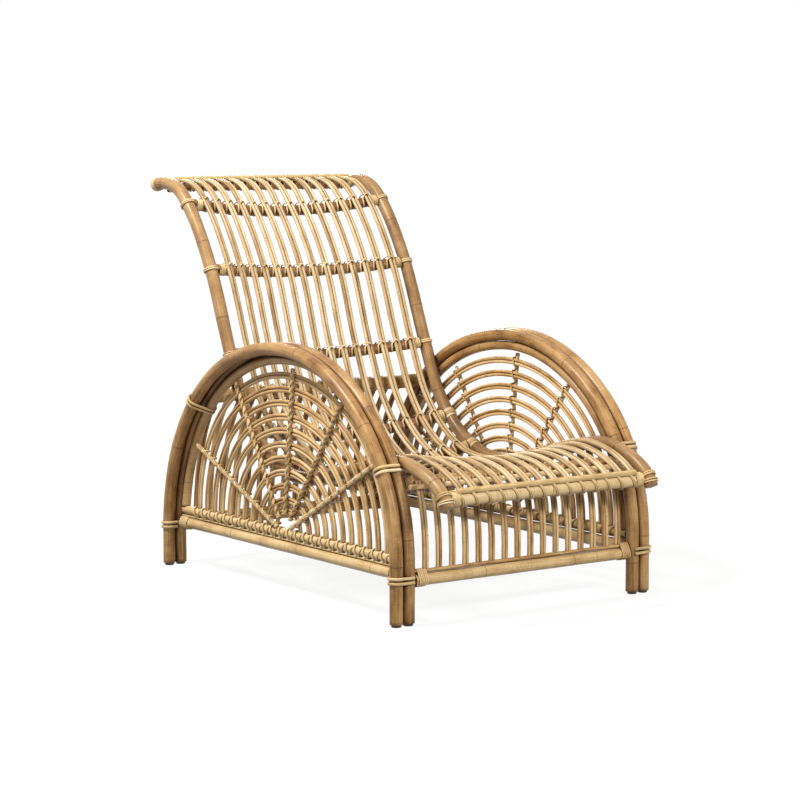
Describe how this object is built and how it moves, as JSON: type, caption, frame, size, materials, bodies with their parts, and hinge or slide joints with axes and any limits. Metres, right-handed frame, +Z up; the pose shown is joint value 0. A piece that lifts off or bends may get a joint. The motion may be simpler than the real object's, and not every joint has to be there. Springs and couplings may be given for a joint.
{
  "type": "lounge chair",
  "caption": "Open rattan lounge chair with paired arches for legs and arms, fan grilles in the sides, and an S-curved seat and back of cane slats over bowed crossbars.",
  "frame": {"origin": "on the floor, in the middle of the chair's bounding box", "axes": "+Z up, the sitter looks along -Y, +X is the sitter's left"},
  "size_m": [0.7464, 1.2204, 0.945],
  "materials": {
    "pole": "clear varnished rattan pole, satin",
    "cane": "clear varnished peeled cane, satin",
    "strand": "split cane skin, satin",
    "glide": "dark matte"
  },
  "bodies": {
    "root": {"outer_arch_left": "pole", "outer_arch_right": "pole", "inner_arch_left": "pole", "inner_arch_right": "pole", "fan_hoop_left": "pole", "fan_hoop_right": "pole", "side_stretcher_left": "pole", "side_stretcher_right": "pole", "fan_rail_left": "pole", "fan_rail_right": "pole", "fan_grille_left": "cane", "fan_grille_right": "cane", "fan_rail_winding_left": "strand", "fan_rail_winding_right": "strand", "seat_rail_left": "pole", "seat_rail_right": "pole", "front_bar": "pole", "seat_bar_1": "pole", "seat_bar_2": "pole", "seat_bar_3": "pole", "lumbar_bar": "pole", "back_bar_1": "pole", "back_bar_2": "pole", "back_bar_3": "pole", "top_bar": "pole", "slat_pair_1": "cane", "slat_pair_2": "cane", "slat_pair_3": "cane", "slat_pair_4": "cane", "slat_pair_5": "cane", "slat_pair_6": "cane", "slat_pair_7": "cane", "slat_pair_8": "cane", "slat_pair_9": "cane", "slat_pair_10": "cane", "slat_pair_11": "cane", "slat_pair_12": "cane", "slat_pair_13": "cane", "slat_pair_14": "cane", "bottom_rail_front": "pole", "bottom_rail_rear": "pole", "cross_rail_front": "pole", "cross_rail_rear": "pole", "skirt_front": "cane", "skirt_rear": "cane", "leg_lashing_front_left": "strand", "leg_lashing_front_right": "strand", "arm_lashing_front_left": "strand", "arm_lashing_front_right": "strand", "arm_lashing_rear_left": "strand", "arm_lashing_rear_right": "strand", "glide_outer_front_left": "glide", "glide_outer_front_right": "glide", "glide_outer_rear_left": "glide", "glide_outer_rear_right": "glide", "glide_inner_front_left": "glide", "glide_inner_front_right": "glide", "glide_inner_rear_left": "glide", "glide_inner_rear_right": "glide"}
  },
  "joints": []
}
